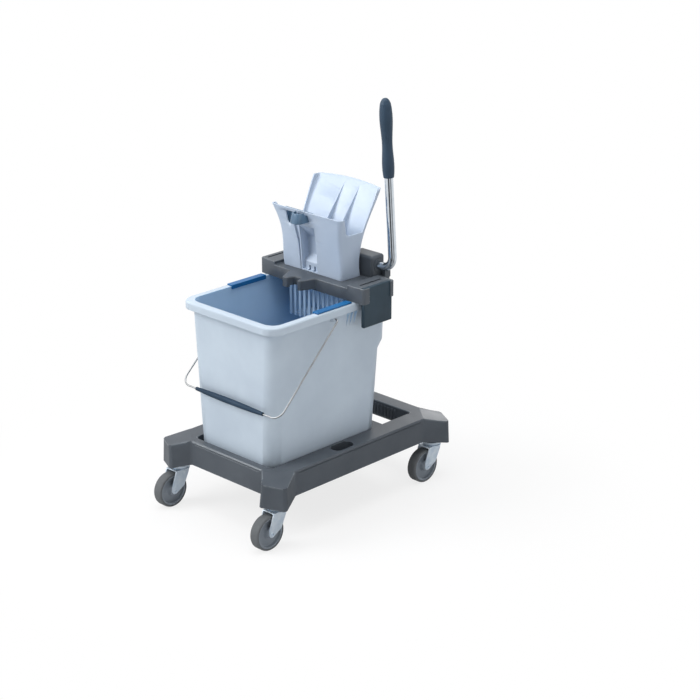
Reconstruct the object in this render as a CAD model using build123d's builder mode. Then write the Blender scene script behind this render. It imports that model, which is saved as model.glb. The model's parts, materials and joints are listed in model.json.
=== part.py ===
"""Single mop bucket trolley: a four-castor chassis, a lift-out bucket with a bail, and a lever press."""
import os
from math import atan2, cos, pi, radians, sin, sqrt, tan

from build123d import *

os.makedirs("parts", exist_ok=True)

# Millimetres, +Z up, floor at Z 0. The bucket end faces -Y and the lever stands on the +X side.

# How far a feature runs into the wall that it grows from
bite = 1.0

# Castors
wheel_d = 75.0
tyre_width = 23.0
tyre_shoulder = 4.0
hub_d = 66.0
hub_boss_d = 20.0
hub_web = 5.0
hub_rim = 3.5
hub_boss_half = 13.5
hub_cone = 1.5
hub_inset = 1.0
axle_d = 8.0
axle_head_d = 13.0
axle_head = 2.0
castor_x = 150.0
castor_y = 234.5
castor_trail = 30.0
fork_sheet = 2.5
fork_gap = 28.0
fork_crown_z = 81.0
fork_crown_d = 40.0
cheek_r = 5.0
# Fork cheek from behind and above the kingpin down round the axle
cheek_root = (-25.0, 11.0)
cheek_low = ((9.0, 72.0), (-4.0, 44.0), (-27.0, 30.5), (-34.0, 30.5), (-38.5, 37.5), (-37.5, 48.0))
kingpin_d = 12.0
rivet_head_d = 18.0
rivet_head = 3.0
bearing_d = 34.0
stem_plate_d = 40.0
stem_plate = 4.0
stem_d = 11.0
stem_length = 30.0
stem_end_gap = 2.0
run_gap = 0.05
face_gap = 0.15

# Chassis moulding
chassis_y = 15.0
beam_x = 161.5
beam_y = 237.5
leg_end_x = 108.0
leg_side_y = 193.5
tip_end_x = 143.5
tip_end_y = 270.0
tip_side_x = 189.5
tip_side_y = 246.5
foot_end_x = 137.5
foot_end_y = 274.0
foot_side_x = 191.5
foot_side_y = 248.5
foot_tip_z = 90.0
deck_z = 153.0
tip_z = 140.5
foot_z = 88.0
beam_z = 98.0
chassis_corner = 8.0
chassis_bevel = 2.5
chassis_wall = 4.0
leg_wall = 5.0
groove_z = 146.0
groove_width = 2.0
groove_depth = 1.2
groove_margin = 20.0
recess_x = 117.0
recess_front_y = -202.0
recess_corner = 9.0
pan_z = 131.0
pan_rear_y = 116.0
bar_z = 140.0
bar_rear_y = 150.0
opening_rear_y = 217.0
grip_wall_z = 120.0
grip_rib_r = 3.0
grip_rib_pitch = 10.0
grip_rib_count = 15
oval_length = 56.0
oval_width = 30.0
oval_depth = 34.0
oval_x = 138.0
oval_y = -20.0
boss_d = 30.0
rib = 3.0
rail_rib_y = (-105.0, 70.0, 150.0)
pan_rib_x = (-78.0, -39.0, 0.0, 39.0, 78.0)
pan_rib_y = (-135.0, -90.0, -45.0, 0.0, 45.0, 90.0, 135.0)
leg_roof_extra = 2.0

# Bucket
bucket_base_x = 112.0
bucket_base_front = -198.0
bucket_base_rear = 112.0
bucket_top_x = 126.5
bucket_top_front = -203.5
bucket_corner = 28.0
bucket_wall = 3.0
step_z = 332.0
step_rear = 121.0
band_z = 350.0
band_low_rear = 134.0
band_rear = 135.0
lip_z = 443.0
rim_z = 460.0
rim_overhang = 13.0
rim_top = 4.0
rim_skirt = 3.0
rim_corner = 32.0
rim_edge_r = 4.0
gusset_height = 36.0
gusset_width = 2.5
gusset_y = (8.0, 18.0, 30.0)

# Bail
bail_wire_d = 3.6
bail_x = 143.5
bail_low_x = 148.0
bail_pivot_y = -36.0
bail_pivot_z = 438.0
bail_bar_y = -209.5
bail_bar_z = 270.0
bail_hook_r = 5.0
bail_bend_r = 22.0
bail_grip_length = 202.0
bail_grip_d = 12.4
bail_grip_end_d = 7.6
bail_hook_in = 127.0
bail_grip_gap = 0.1
ear_d = 14.0
ear_out_x = 137.0
ear_end_gap = 0.5

# Rim clips
clip_length = 98.0
clip_front_y = -86.0
clip_sheet = 3.5
clip_leg = 6.0
clip_gap = 0.3
clip_outer_x = 136.0

# Press holder
holder_left = -150.0
holder_right = 163.0
holder_front = 18.0
holder_left_front = 25.0
holder_right_front = 19.0
holder_mid_y = 30.0
holder_rear = 145.0
holder_end_rear = 111.0
holder_rear_half = 120.0
holder_corner = 6.0
deck_top = 487.0
block_top = 494.0
left_block_x = -105.0
right_block_x = 115.0
holder_wall = 3.5
press_x = -10.0
bow_x = 9.0
# Tongue in front of the bridge: left flank and tip, end of the pole notch, right tip and flank
tongue_left = ((-60.7, 30.0), (-37.5, -19.0), (-23.0, -19.0))
notch_end = ((-18.0, -1.0), (0.0, 1.0))
tongue_right = ((5.0, -19.0), (14.0, -15.0), (30.4, 30.0))
tongue_bottom = 465.0
tongue_r = 4.0
tongue_edge_r = 3.0
notch_r = 7.0
notch_rise = 3.5
notch_rise_front = -12.0
notch_rise_rear = 10.0
notch_rise_left = -28.0
notch_rise_right = 9.5
block_slot_x = 137.5
block_slot_y = 66.0
block_slot_length = 64.0
block_slot_width = 5.0
corner_block_left = 108.5
corner_block_front = 129.0
corner_block_top = 500.0
locate_gap = 0.7
locate_y = (60.0, 104.0)
locate_drop = 12.0

# Side panel
panel_thick = 9.0
panel_inner_x = 151.0
panel_front = 23.0
panel_rear = 107.0
panel_bottom = 408.0
panel_edge_r = 2.5
panel_gap = 0.25
lip_front = 37.0
lip_rear = 100.0

# Funnel
funnel_wall = 3.0
funnel_corner = 9.0
funnel_half = 88.0
funnel_front = 41.0
funnel_rear = 101.0
funnel_mid_z = 545.0
funnel_mid_front = 37.0
funnel_mid_rear = 102.0
funnel_mid_half = 88.5
# Flared sections: height, half width of front and rear edge, front face, rear face
funnel_flare = (
    (590.0, 93.0, 91.0, 30.0, 116.0),
    (626.0, 105.5, 92.0, 20.0, 135.0),
    (671.0, 116.0, 92.0, 4.0, 161.0),
)
funnel_reach = 130.0
front_lip_z = 623.0
lip_end_y = 36.0
valley_front_y = 48.0
valley_z = 582.0
valley_r = 14.0
valley_rear_y = 100.0
wing_top_y = 144.0
arch_fall = 12.0
channel_left = -38.5
channel_right = 7.0
channel_wall = 3.0
channel_back_y = 60.0
channel_top_z = 562.0
channel_lip_y = 31.5
channel_lip_z = 592.0
ramp_top_z = 521.0
ramp_foot_y = 55.5
ramp_foot_z = 502.0
channel_foot_y = 49.0
channel_floor = 2.5
drain_width = 4.0
drain_height = 11.0
drain_pitch = 14.5
# Set-back strip along the left edge of the channel: its outer edge at the deck, at mid height and at the top
strip_x = (-42.8, -45.6, -54.0)
strip_depth = 5.0
strip_wall = 2.5
fin_x = (-23.0, 21.0)
fin_sheet = 3.0
fin_back = ((153.0, 661.0), (132.5, 626.0), (114.0, 590.0), (100.0, 545.0), (99.5, 500.0))
fin_edge = ((92.0, 500.0), (86.0, 575.0))
collar_inset = 2.5
collar_drop = 6.5
collar_gap = 0.3
collar_grip = 1.0

# Pole retainer
retainer_x = -20.5
retainer_width = 31.0
retainer_drop = 1.0
retainer_height = 22.0
retainer_front = -3.0
retainer_back = 40.0
retainer_sheet = 3.0
retainer_r = 12.0
retainer_taper = 3.0
retainer_neck_y = 18.0
leaf_front = 36.0
leaf_sheet = 3.0
leaf_lap = 2.5
leaf_reach = 13.0
leaf_fall = 6.0
opening_left = -70.0
opening_mid = -58.0
opening_side_gap = 0.5
opening_bottom = 586.0
opening_mid_bottom = 598.0
opening_top = 616.0
opening_r = 5.9

# Sieve basket
basket_half = 80.0
basket_front = 52.0
basket_rear = 112.0
basket_bottom = 374.0
basket_wall = 3.0
basket_flange = 7.0
basket_flange_rear = 100.0
sieve_pitch = 14.0
sieve_slot = 7.5
sieve_count = 11
sieve_top = 450.0
sieve_under = 14.0

# Lever and gears
lever_x = 148.0
axis_y = 122.0
axis_z = 511.0
lever_lean = 4.3
tube_d = 18.0
tube_wall = 1.5
tube_bend_r = 28.0
lever_length = 367.0
grip_length = 166.0
grip_lower_d = 25.0
grip_waist_d = 21.6
grip_upper_d = 26.8
grip_mouth_d = 22.0
grip_shoulder_d = 22.0
tube_end_x = 39.0
# Distances below the top of the grip
tube_top_drop = 12.0
grip_lower_drop = 133.0
grip_waist_drop = 99.0
grip_upper_drop = 49.0
grip_shoulder_drop = 11.0
grip_top_lean = 0.5
gear_module = 1.5
gear_teeth = 24
gear_width = 12.0
gear_x = 82.0
pressure_angle = 20.0
backlash = 0.3
gear_root = 1.25
sector_teeth = 4
lever_hub_d = 23.0
sector_slot = 36.0
sector_side_gap = 1.5
shaft_d = 10.0
shaft_left = -101.0
shaft_right = 104.0
plate_half = 73.0
plate_front = 103.0
plate_thick = 4.0
plate_top = 466.0
plate_reach = 84.0
plate_rib = 3.0
plate_rib_pitch = 17.0
plate_rib_count = 9
plate_rib_depth = 3.0
plate_arm = 20.0
plate_hub_d = 14.0
plate_hub_x = 50.0
plate_hub_width = 12.0
bush_d = 14.0
hanger_width = 6.0
hanger_left = -101.0
hanger_right = 97.0
hanger_bottom = 463.0
hanger_length = 18.0

# Gear housing
housing_left = 40.0
housing_right = 106.0
housing_front = 102.5
housing_rear = 141.5
housing_top = 532.0
housing_wall = 2.0
housing_edge_r = 6.0
lever_bush_d = 24.0
lever_bush_flange_d = 26.0
lever_bush_flange = 2.0
screw_d = 3.8
screw_head_d = 7.6
screw_head = 2.5
screw_length = 16.0
post_d = 8.0
post_height = 14.0
post_inset = 5.5

# Derived values
wheel_r = wheel_d / 2
gear_centres = gear_module * gear_teeth
shaft_y = axis_y
shaft_z = axis_z - gear_centres
deck_under = deck_top - holder_wall
funnel_top = funnel_flare[-1][0]
rim_x = bucket_top_x + rim_overhang
rim_front = bucket_top_front - rim_overhang
rim_rear = band_rear + rim_overhang
bail_bore_r = bail_wire_d / 2 + bail_grip_gap
channel_x = (channel_left + channel_right) / 2
channel_width = channel_right - channel_left
retainer_z = front_lip_z - retainer_drop - retainer_height
lever_grip_from = lever_length - grip_length
tube_top = lever_length - tube_top_drop
quadrants = ((1, 1), (-1, 1), (-1, -1), (1, -1))
corners = {"front_left": (-1, -1), "front_right": (1, -1), "rear_left": (-1, 1), "rear_right": (1, 1)}


def save(part, name):
    """Label one finished piece and write it as its own file."""
    part.label = name
    export_step(part, f"parts/{name}.step")


def box_between(x0, x1, y0, y1, z0, z1, mode=Mode.ADD):
    """Block between two opposite corners, for use inside a part."""
    with Locations(((x0 + x1) / 2, (y0 + y1) / 2, (z0 + z1) / 2)):
        Box(x1 - x0, y1 - y0, z1 - z0, mode=mode)


def rounded_face(x0, x1, y0, y1, z, r):
    """Rounded rectangle between two corners at height z, left pending for a loft or an extrusion."""
    with BuildSketch(Plane.XY.offset(z)) as face:
        with Locations(((x0 + x1) / 2, (y0 + y1) / 2)):
            RectangleRounded(x1 - x0, y1 - y0, r)
    return face.sketch


# Chassis


def grown(points, amount):
    """Corners of a closed anticlockwise outline after each side moves outward by amount."""
    moved = []
    for i, corner in enumerate(points):
        before = Vector(*corner) - Vector(*points[i - 1])
        after = Vector(*points[(i + 1) % len(points)]) - Vector(*corner)
        out_before = Vector(before.Y, -before.X).normalized()
        out_after = Vector(after.Y, -after.X).normalized()
        shift = (out_before + out_after) * (amount / (1 + out_before.dot(out_after)))
        moved.append((corner[0] + shift.X, corner[1] + shift.Y))
    return moved


def all_quarters(quarter):
    """One quarter of the chassis outline repeated round all four corners, anticlockwise."""
    points = []
    for sx, sy in quadrants:
        corner = [(sx * x, chassis_y + sy * y) for x, y in quarter]
        points += corner if sx * sy > 0 else corner[::-1]
    return points


def plan_face(points, z, r=0):
    """Closed outline at height z with its corners rounded, left pending."""
    with BuildSketch(Plane.XY.offset(z)) as face:
        with BuildLine():
            Polyline(*points, close=True)
        make_face()
        if r:
            fillet(face.vertices(), r)
    return face.sketch


def middle(out):
    """Outline between the leg roots, its four beam faces moved outward by out along the root lines."""
    side = (beam_x + out, leg_side_y - out * root_slope)
    end = (leg_end_x - out / root_slope, beam_y + out)
    return all_quarters([side, end])


root_slope = (beam_y - leg_side_y) / (beam_x - leg_end_x)
leg_root = Vector((beam_x + leg_end_x) / 2, (leg_side_y + beam_y) / 2)
leg_way = Vector(beam_y - leg_side_y, beam_x - leg_end_x).normalized()
leg_run = (Vector((tip_end_x + tip_side_x) / 2, (tip_end_y + tip_side_y) / 2) - leg_root).dot(leg_way)
leg_fall = (deck_z - tip_z) / leg_run
leg_cut = 2 * leg_run
bevel_z = deck_z - chassis_bevel
root_side = (beam_x, leg_side_y)
root_end = (leg_end_x, beam_y)
frame_points = all_quarters([root_side, (tip_side_x, tip_side_y), (tip_end_x, tip_end_y), root_end])
foot_points = all_quarters([root_side, (foot_side_x, foot_side_y), (foot_end_x, foot_end_y), root_end])
foot_rise = (beam_z - foot_tip_z) / leg_run
deck_roof = deck_z - chassis_wall
leg_roof = tip_z - chassis_wall
rail_mid = (recess_x + beam_x) / 2
recess_mid_y = (recess_front_y + opening_rear_y) / 2
recess_long = opening_rear_y - recess_front_y
castor_places = {name: (sx * castor_x, chassis_y + sy * castor_y) for name, (sx, sy) in corners.items()}

with BuildPart() as chassis_frame:
    foot_face = plan_face(foot_points, foot_z, chassis_corner)
    bevel_face = plan_face(frame_points, bevel_z, chassis_corner)
    deck_face = plan_face(grown(frame_points, -chassis_bevel), deck_z, chassis_corner)
    loft([foot_face, bevel_face], ruled=True)
    loft([bevel_face, deck_face], ruled=True)
    # Leg tops and undersides fall towards the feet
    for sx, sy in quadrants:
        way = Vector(sx * leg_way.X, sy * leg_way.Y, 0)
        root = Vector(sx * leg_root.X, chassis_y + sy * leg_root.Y, 0)
        with BuildSketch(Plane(origin=root, x_dir=way, z_dir=(way.Y, -way.X, 0))):
            with BuildLine():
                Polyline(
                    (0, deck_z), (leg_cut, deck_z - leg_fall * leg_cut), (leg_cut, deck_z + leg_cut),
                    (0, deck_z + leg_cut), close=True,
                )
            make_face()
            with BuildLine():
                Polyline(
                    (0, beam_z), (leg_cut, beam_z - foot_rise * leg_cut), (leg_cut, 0), (0, 0), close=True
                )
            make_face()
        extrude(amount=leg_cut, both=True, mode=Mode.SUBTRACT)
    # Beams stand higher off the floor than the feet
    extrude(plan_face(middle(chassis_wall), foot_z), amount=beam_z - foot_z, mode=Mode.SUBTRACT)
    # Bucket recess, cross bar and rear opening
    for front, rear, z in (
        (recess_front_y, opening_rear_y, bar_z),
        (recess_front_y, pan_rear_y, pan_z),
        (bar_rear_y, opening_rear_y, 0),
    ):
        hole = rounded_face(-recess_x, recess_x, front, rear, z, recess_corner)
        extrude(hole, amount=deck_z, mode=Mode.SUBTRACT)
    # Hollow beams open below, with cross ribs and a walled socket for each oval recess
    with BuildSketch(Plane.XY.offset(foot_z)):
        with BuildLine():
            Polyline(*middle(-chassis_wall), close=True)
        make_face()
        with Locations((0, recess_mid_y)):
            Rectangle(2 * (recess_x + chassis_wall), recess_long + 2 * chassis_wall, mode=Mode.SUBTRACT)
        for sx in (-1, 1):
            with Locations((sx * oval_x, oval_y)):
                SlotOverall(oval_length + 2 * rib, oval_width + 2 * rib, rotation=90, mode=Mode.SUBTRACT)
            with Locations(*[(sx * rail_mid, y) for y in rail_rib_y]):
                Rectangle(beam_x - recess_x, rib, mode=Mode.SUBTRACT)
    extrude(amount=deck_roof - foot_z, mode=Mode.SUBTRACT)
    # Hollow legs round a solid boss for each castor stem
    with BuildSketch(Plane.XY.offset(foot_z)):
        with BuildLine():
            Polyline(*grown(frame_points, -leg_wall), close=True)
        make_face()
        with BuildLine(mode=Mode.PRIVATE) as middle_line:
            Polyline(*grown(middle(0), rib), close=True)
        make_face(middle_line.line.edges(), mode=Mode.SUBTRACT)
    extrude(amount=leg_roof - leg_roof_extra - foot_z, mode=Mode.SUBTRACT)
    with BuildSketch(Plane.XY.offset(foot_z)):
        with Locations(*castor_places.values()):
            Circle(boss_d / 2)
    extrude(amount=leg_roof - foot_z)
    with BuildSketch(Plane.XY.offset(foot_z)):
        with Locations(*castor_places.values()):
            Circle(stem_d / 2 + run_gap)
    extrude(amount=stem_length + stem_end_gap, mode=Mode.SUBTRACT)
    # Under the pan, with a grid of ribs, and under the cross bar
    with BuildSketch(Plane.XY.offset(foot_z)):
        with Locations((0, (recess_front_y + pan_rear_y) / 2)):
            Rectangle(2 * recess_x, pan_rear_y - recess_front_y)
            for x in pan_rib_x:
                with Locations((x, 0)):
                    Rectangle(rib, pan_rear_y - recess_front_y, mode=Mode.SUBTRACT)
            for y in pan_rib_y:
                with Locations((0, y)):
                    Rectangle(2 * recess_x, rib, mode=Mode.SUBTRACT)
    extrude(amount=pan_z - chassis_wall - foot_z, mode=Mode.SUBTRACT)
    box_between(
        -recess_x, recess_x, pan_rear_y + chassis_wall, bar_rear_y - chassis_wall,
        foot_z, bar_z - chassis_wall, Mode.SUBTRACT,
    )
    # Oval recesses in the rails, their sockets open below their floors
    oval_floor = deck_z - oval_depth
    for start, depth in ((oval_floor, oval_depth), (foot_z, oval_floor - rib - foot_z)):
        with BuildSketch(Plane.XY.offset(start)):
            with Locations((-oval_x, oval_y), (oval_x, oval_y)):
                SlotOverall(oval_length, oval_width, rotation=90)
        extrude(amount=depth, mode=Mode.SUBTRACT)
    # Hand grip in the rear beam: a raised lower edge and upright half-round ribs
    grip_x = recess_x - recess_corner
    box_between(
        -grip_x, grip_x, opening_rear_y - chassis_wall, opening_rear_y + chassis_wall,
        foot_z, grip_wall_z, Mode.SUBTRACT,
    )
    with BuildSketch(Plane.XY.offset(grip_wall_z)):
        with Locations((0, opening_rear_y)):
            with GridLocations(grip_rib_pitch, 1, grip_rib_count, 1):
                Circle(grip_rib_r)
    extrude(amount=groove_z - grip_wall_z)
    # Shadow grooves under the top edge of the four beam faces
    with BuildSketch(Plane.XY.offset(groove_z)):
        with Locations((0, chassis_y)):
            with GridLocations(1, 2 * beam_y, 1, 2):
                Rectangle(2 * leg_end_x - groove_margin, 2 * groove_depth)
            with GridLocations(2 * beam_x, 1, 2, 1):
                Rectangle(2 * groove_depth, 2 * leg_side_y - groove_margin)
    extrude(amount=groove_width, mode=Mode.SUBTRACT)

# Castors


def disc(x, y, z, d, height, hole=0):
    """Upright disc with its lower face at height z."""
    with BuildSketch(Plane.XY.offset(z)) as face:
        with Locations((x, y)):
            Circle(d / 2)
            if hole:
                Circle(hole / 2, mode=Mode.SUBTRACT)
    extrude(face.sketch, amount=height)


crown_z = fork_crown_z - fork_sheet
bearing_top = foot_z - stem_plate
cheek_in = fork_gap / 2
cheek_out = cheek_in + fork_sheet
kingpin_hole = kingpin_d + 2 * run_gap
cheek_points = [(cheek_root[0], fork_crown_z), (cheek_root[1], fork_crown_z), *cheek_low]

for name, (cx, cy) in castor_places.items():
    ay = cy - castor_trail
    with BuildPart() as castor_stem:
        disc(cx, cy, bearing_top, stem_plate_d, stem_plate)
        disc(cx, cy, foot_z, stem_d, stem_length)
        disc(cx, cy, crown_z - face_gap, kingpin_d, bearing_top - crown_z + face_gap)
        disc(cx, cy, crown_z - face_gap - rivet_head, rivet_head_d, rivet_head)
    save(castor_stem.part, f"castor_stem_{name}")

    with BuildPart() as swivel_washer:
        disc(cx, cy, fork_crown_z, bearing_d, bearing_top - fork_crown_z, kingpin_hole)
    save(swivel_washer.part, f"swivel_washer_{name}")

    with BuildPart() as castor_fork:
        with BuildSketch(Plane.XY.offset(crown_z)):
            with Locations((cx, cy)):
                Circle(fork_crown_d / 2)
                with Locations((0, cheek_root[0] / 2)):
                    Rectangle(2 * cheek_out, -cheek_root[0])
                Circle(kingpin_hole / 2, mode=Mode.SUBTRACT)
        extrude(amount=fork_sheet)
        for side in (-1, 1):
            inner = Plane.YZ.offset(cx + side * cheek_in)
            with BuildSketch(inner) as cheek:
                with BuildLine():
                    Polyline(*[(cy + y, z) for y, z in cheek_points], close=True)
                make_face()
                fillet(cheek.vertices().sort_by(Axis.Z)[:4], cheek_r)
                with Locations((ay, wheel_r)):
                    Circle(axle_d / 2 + run_gap, mode=Mode.SUBTRACT)
            extrude(amount=side * fork_sheet)
    save(castor_fork.part, f"castor_fork_{name}")

    with BuildPart() as castor_axle:
        with BuildSketch(Plane.YZ.offset(cx - cheek_out)):
            with Locations((ay, wheel_r)):
                Circle(axle_d / 2)
        extrude(amount=2 * cheek_out)
        for side in (-1, 1):
            with BuildSketch(Plane.YZ.offset(cx + side * cheek_out)):
                with Locations((ay, wheel_r)):
                    Circle(axle_head_d / 2)
            extrude(amount=side * axle_head)
    save(castor_axle.part, f"castor_axle_{name}")

    with BuildPart() as wheel_hub:
        bore_r = axle_d / 2 + run_gap
        rim_in_r = hub_d / 2 - hub_rim
        rim_half = tyre_width / 2 - hub_inset
        half = [(0, bore_r), (hub_boss_half, bore_r), (hub_boss_half, hub_boss_d / 2)]
        half += [(hub_web / 2, hub_boss_d / 2 + hub_cone), (hub_web / 2, rim_in_r), (rim_half, rim_in_r)]
        half += [(rim_half, hub_d / 2), (0, hub_d / 2)]
        with BuildSketch(Plane.XY):
            with BuildLine():
                Polyline(*half, close=True)
            make_face()
            mirror(about=Plane.YZ)
        revolve(axis=Axis.X)
    save(wheel_hub.part.moved(Location((cx, ay, wheel_r))), f"wheel_hub_{name}")

    with BuildPart() as wheel_tyre:
        with BuildSketch(Plane.XY) as tread:
            with Locations((0, (hub_d / 2 + wheel_r) / 2)):
                Rectangle(tyre_width, wheel_r - hub_d / 2)
            fillet(tread.vertices().group_by(Axis.Y)[-1], tyre_shoulder)
        revolve(axis=Axis.X)
    save(wheel_tyre.part.moved(Location((cx, ay, wheel_r))), f"wheel_tyre_{name}")

save(chassis_frame.part, "chassis_frame")

# Bucket


def bucket_face(z, half, front, rear, inset=0):
    """Plan section of the bucket at height z, moved inward by inset."""
    return rounded_face(
        -half + inset, half - inset, front + inset, rear - inset, z, bucket_corner - inset
    )


def bucket_half(z):
    """Half width of the drafted bucket wall at height z."""
    return bucket_base_x + (bucket_top_x - bucket_base_x) * (z - pan_z) / (lip_z - pan_z)


def bucket_front(z):
    """Front face of the drafted bucket wall at height z."""
    return bucket_base_front + (bucket_top_front - bucket_base_front) * (z - pan_z) / (lip_z - pan_z)


bucket_rear = ((pan_z, bucket_base_rear), (step_z, step_rear), (band_z, band_low_rear), (lip_z, band_rear))
inner_rear = (
    (pan_z + bucket_wall, bucket_base_rear), (step_z + bucket_wall, step_rear),
    (band_z + bucket_wall, band_low_rear), (lip_z, band_rear),
)
skirt_in = rim_overhang - rim_skirt
top_length = band_rear - bucket_top_front
skirt_x = rim_x - rim_skirt
rim_under = rim_z - rim_top
gusset_z = lip_z - gusset_height
bucket_in_x = bucket_top_x - bucket_wall

with BuildPart() as bucket_shell:
    for (z0, rear0), (z1, rear1) in zip(bucket_rear, bucket_rear[1:]):
        low = bucket_face(z0, bucket_half(z0), bucket_front(z0), rear0)
        high = bucket_face(z1, bucket_half(z1), bucket_front(z1), rear1)
        loft([low, high], ruled=True)
    rim = rounded_face(-rim_x, rim_x, rim_front, rim_rear, lip_z, rim_corner)
    extrude(rim, amount=rim_z - lip_z)
    fillet(bucket_shell.faces().sort_by(Axis.Z)[-1].edges(), rim_edge_r)
    # Channel under the rolled rim, between its skirt and the wall
    with BuildSketch(Plane.XY.offset(lip_z)):
        with Locations((0, (bucket_top_front + band_rear) / 2)):
            RectangleRounded(2 * (bucket_top_x + skirt_in), top_length + 2 * skirt_in, rim_corner - rim_skirt)
            RectangleRounded(2 * bucket_top_x, top_length, bucket_corner, mode=Mode.SUBTRACT)
    extrude(amount=rim_z - rim_top - lip_z, mode=Mode.SUBTRACT)
    # Inside
    for (z0, rear0), (z1, rear1) in zip(inner_rear, inner_rear[1:]):
        low = bucket_face(z0, bucket_half(z0), bucket_front(z0), rear0, bucket_wall)
        high = bucket_face(z1, bucket_half(z1), bucket_front(z1), rear1, bucket_wall)
        loft([low, high], ruled=True, mode=Mode.SUBTRACT)
    mouth = bucket_face(lip_z, bucket_top_x, bucket_top_front, band_rear, bucket_wall)
    extrude(mouth, amount=rim_z - lip_z, mode=Mode.SUBTRACT)
    for side in (-1, 1):
        # Ear that holds the bail hook
        with BuildSketch(Plane.YZ.offset(side * ear_out_x)):
            with Locations((bail_pivot_y, bail_pivot_z)):
                Circle(ear_d / 2)
        extrude(amount=-side * (ear_out_x - bucket_in_x - bite))
        with BuildSketch(Plane.YZ.offset(side * ear_out_x)):
            with Locations((bail_pivot_y, bail_pivot_z)):
                Circle(bail_wire_d / 2 + run_gap)
        extrude(amount=-side * (ear_out_x - bail_hook_in + ear_end_gap), mode=Mode.SUBTRACT)
        # Tapered gussets between wall and skirt
        for y in gusset_y:
            with BuildSketch(Plane.XZ.offset(-y - gusset_width / 2)):
                with BuildLine():
                    Polyline(
                        (side * (bucket_top_x - bite), rim_under), (side * skirt_x, rim_under),
                        (side * skirt_x, lip_z), (side * bucket_half(gusset_z), gusset_z),
                        (side * (bucket_half(gusset_z) - bite), gusset_z),
                        close=True,
                    )
                make_face()
            extrude(amount=gusset_width)
save(bucket_shell.part, "bucket_shell")

# Bail

with BuildPart() as bail_wire:
    with BuildLine() as wire_path:
        FilletPolyline(
            (-bail_hook_in, bail_pivot_y, bail_pivot_z), (-bail_x, bail_pivot_y, bail_pivot_z),
            (-bail_low_x, bail_bar_y, bail_bar_z), (bail_low_x, bail_bar_y, bail_bar_z),
            (bail_x, bail_pivot_y, bail_pivot_z), (bail_hook_in, bail_pivot_y, bail_pivot_z),
            radius=(bail_hook_r, bail_bend_r, bail_bend_r, bail_hook_r),
        )
    with BuildSketch(wire_path.line ^ 0):
        Circle(bail_wire_d / 2)
    sweep()
save(bail_wire.part, "bail_wire")

with BuildPart() as bail_grip:
    with BuildSketch(Plane.XY):
        with BuildLine():
            Line((-bail_grip_length / 2, bail_bore_r), (bail_grip_length / 2, bail_bore_r))
            Line((bail_grip_length / 2, bail_bore_r), (bail_grip_length / 2, bail_grip_end_d / 2))
            ThreePointArc(
                (bail_grip_length / 2, bail_grip_end_d / 2), (0, bail_grip_d / 2),
                (-bail_grip_length / 2, bail_grip_end_d / 2),
            )
            Line((-bail_grip_length / 2, bail_grip_end_d / 2), (-bail_grip_length / 2, bail_bore_r))
        make_face()
    revolve(axis=Axis.X)
save(bail_grip.part.moved(Location((0, bail_bar_y, bail_bar_z))), "bail_grip")

# Rim clips

for name, side in (("left", -1), ("right", 1)):
    leg_out = bucket_in_x - clip_gap
    leg_in = leg_out - clip_sheet
    with BuildPart() as rim_clip:
        with BuildSketch(Plane.XZ.offset(-clip_front_y)) as saddle:
            with BuildLine():
                Polyline(
                    (side * clip_outer_x, rim_z), (side * clip_outer_x, rim_z + clip_sheet),
                    (side * leg_in, rim_z + clip_sheet), (side * leg_in, rim_z - clip_leg),
                    (side * leg_out, rim_z - clip_leg), (side * leg_out, rim_z),
                    close=True,
                )
            make_face()
        extrude(amount=-clip_length)
    save(rim_clip.part, f"rim_clip_{name}")

# Press holder


def holder_face(z, inset=0):
    """Plan of the holder plate with its bowed front edge, moved inward by inset."""
    left = holder_left + inset
    right = holder_right - inset
    half = holder_rear_half - inset
    left_front = holder_left_front + inset
    right_front = holder_right_front + inset
    end = holder_end_rear - inset
    rear = holder_rear - inset
    with BuildSketch(Plane.XY.offset(z)) as face:
        with BuildLine():
            ThreePointArc((left, left_front), (bow_x, holder_front + inset), (right, right_front))
            Polyline(
                (right, right_front), (right, end), (half, end), (half, rear), (-half, rear), (-half, end),
                (left, end), (left, left_front),
            )
        make_face()
        fillet(face.vertices(), holder_corner - inset / 2)
    return face.sketch


channel_in = panel_inner_x - panel_gap
channel_out = panel_inner_x + panel_thick + panel_gap
channel_wall_x = channel_in - holder_wall
tongue_points = [*tongue_left, *notch_end, *tongue_right]
slot_front = shaft_y - sector_slot / 2
slot_rear = shaft_y + sector_slot / 2
collar_half = funnel_half - collar_inset
collar_front = funnel_front + collar_inset
collar_rear = funnel_rear - collar_inset
screw_places = [(x, y) for x in (housing_left + post_inset, housing_right - post_inset)
                for y in (housing_front + post_inset, housing_rear - post_inset)]

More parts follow.
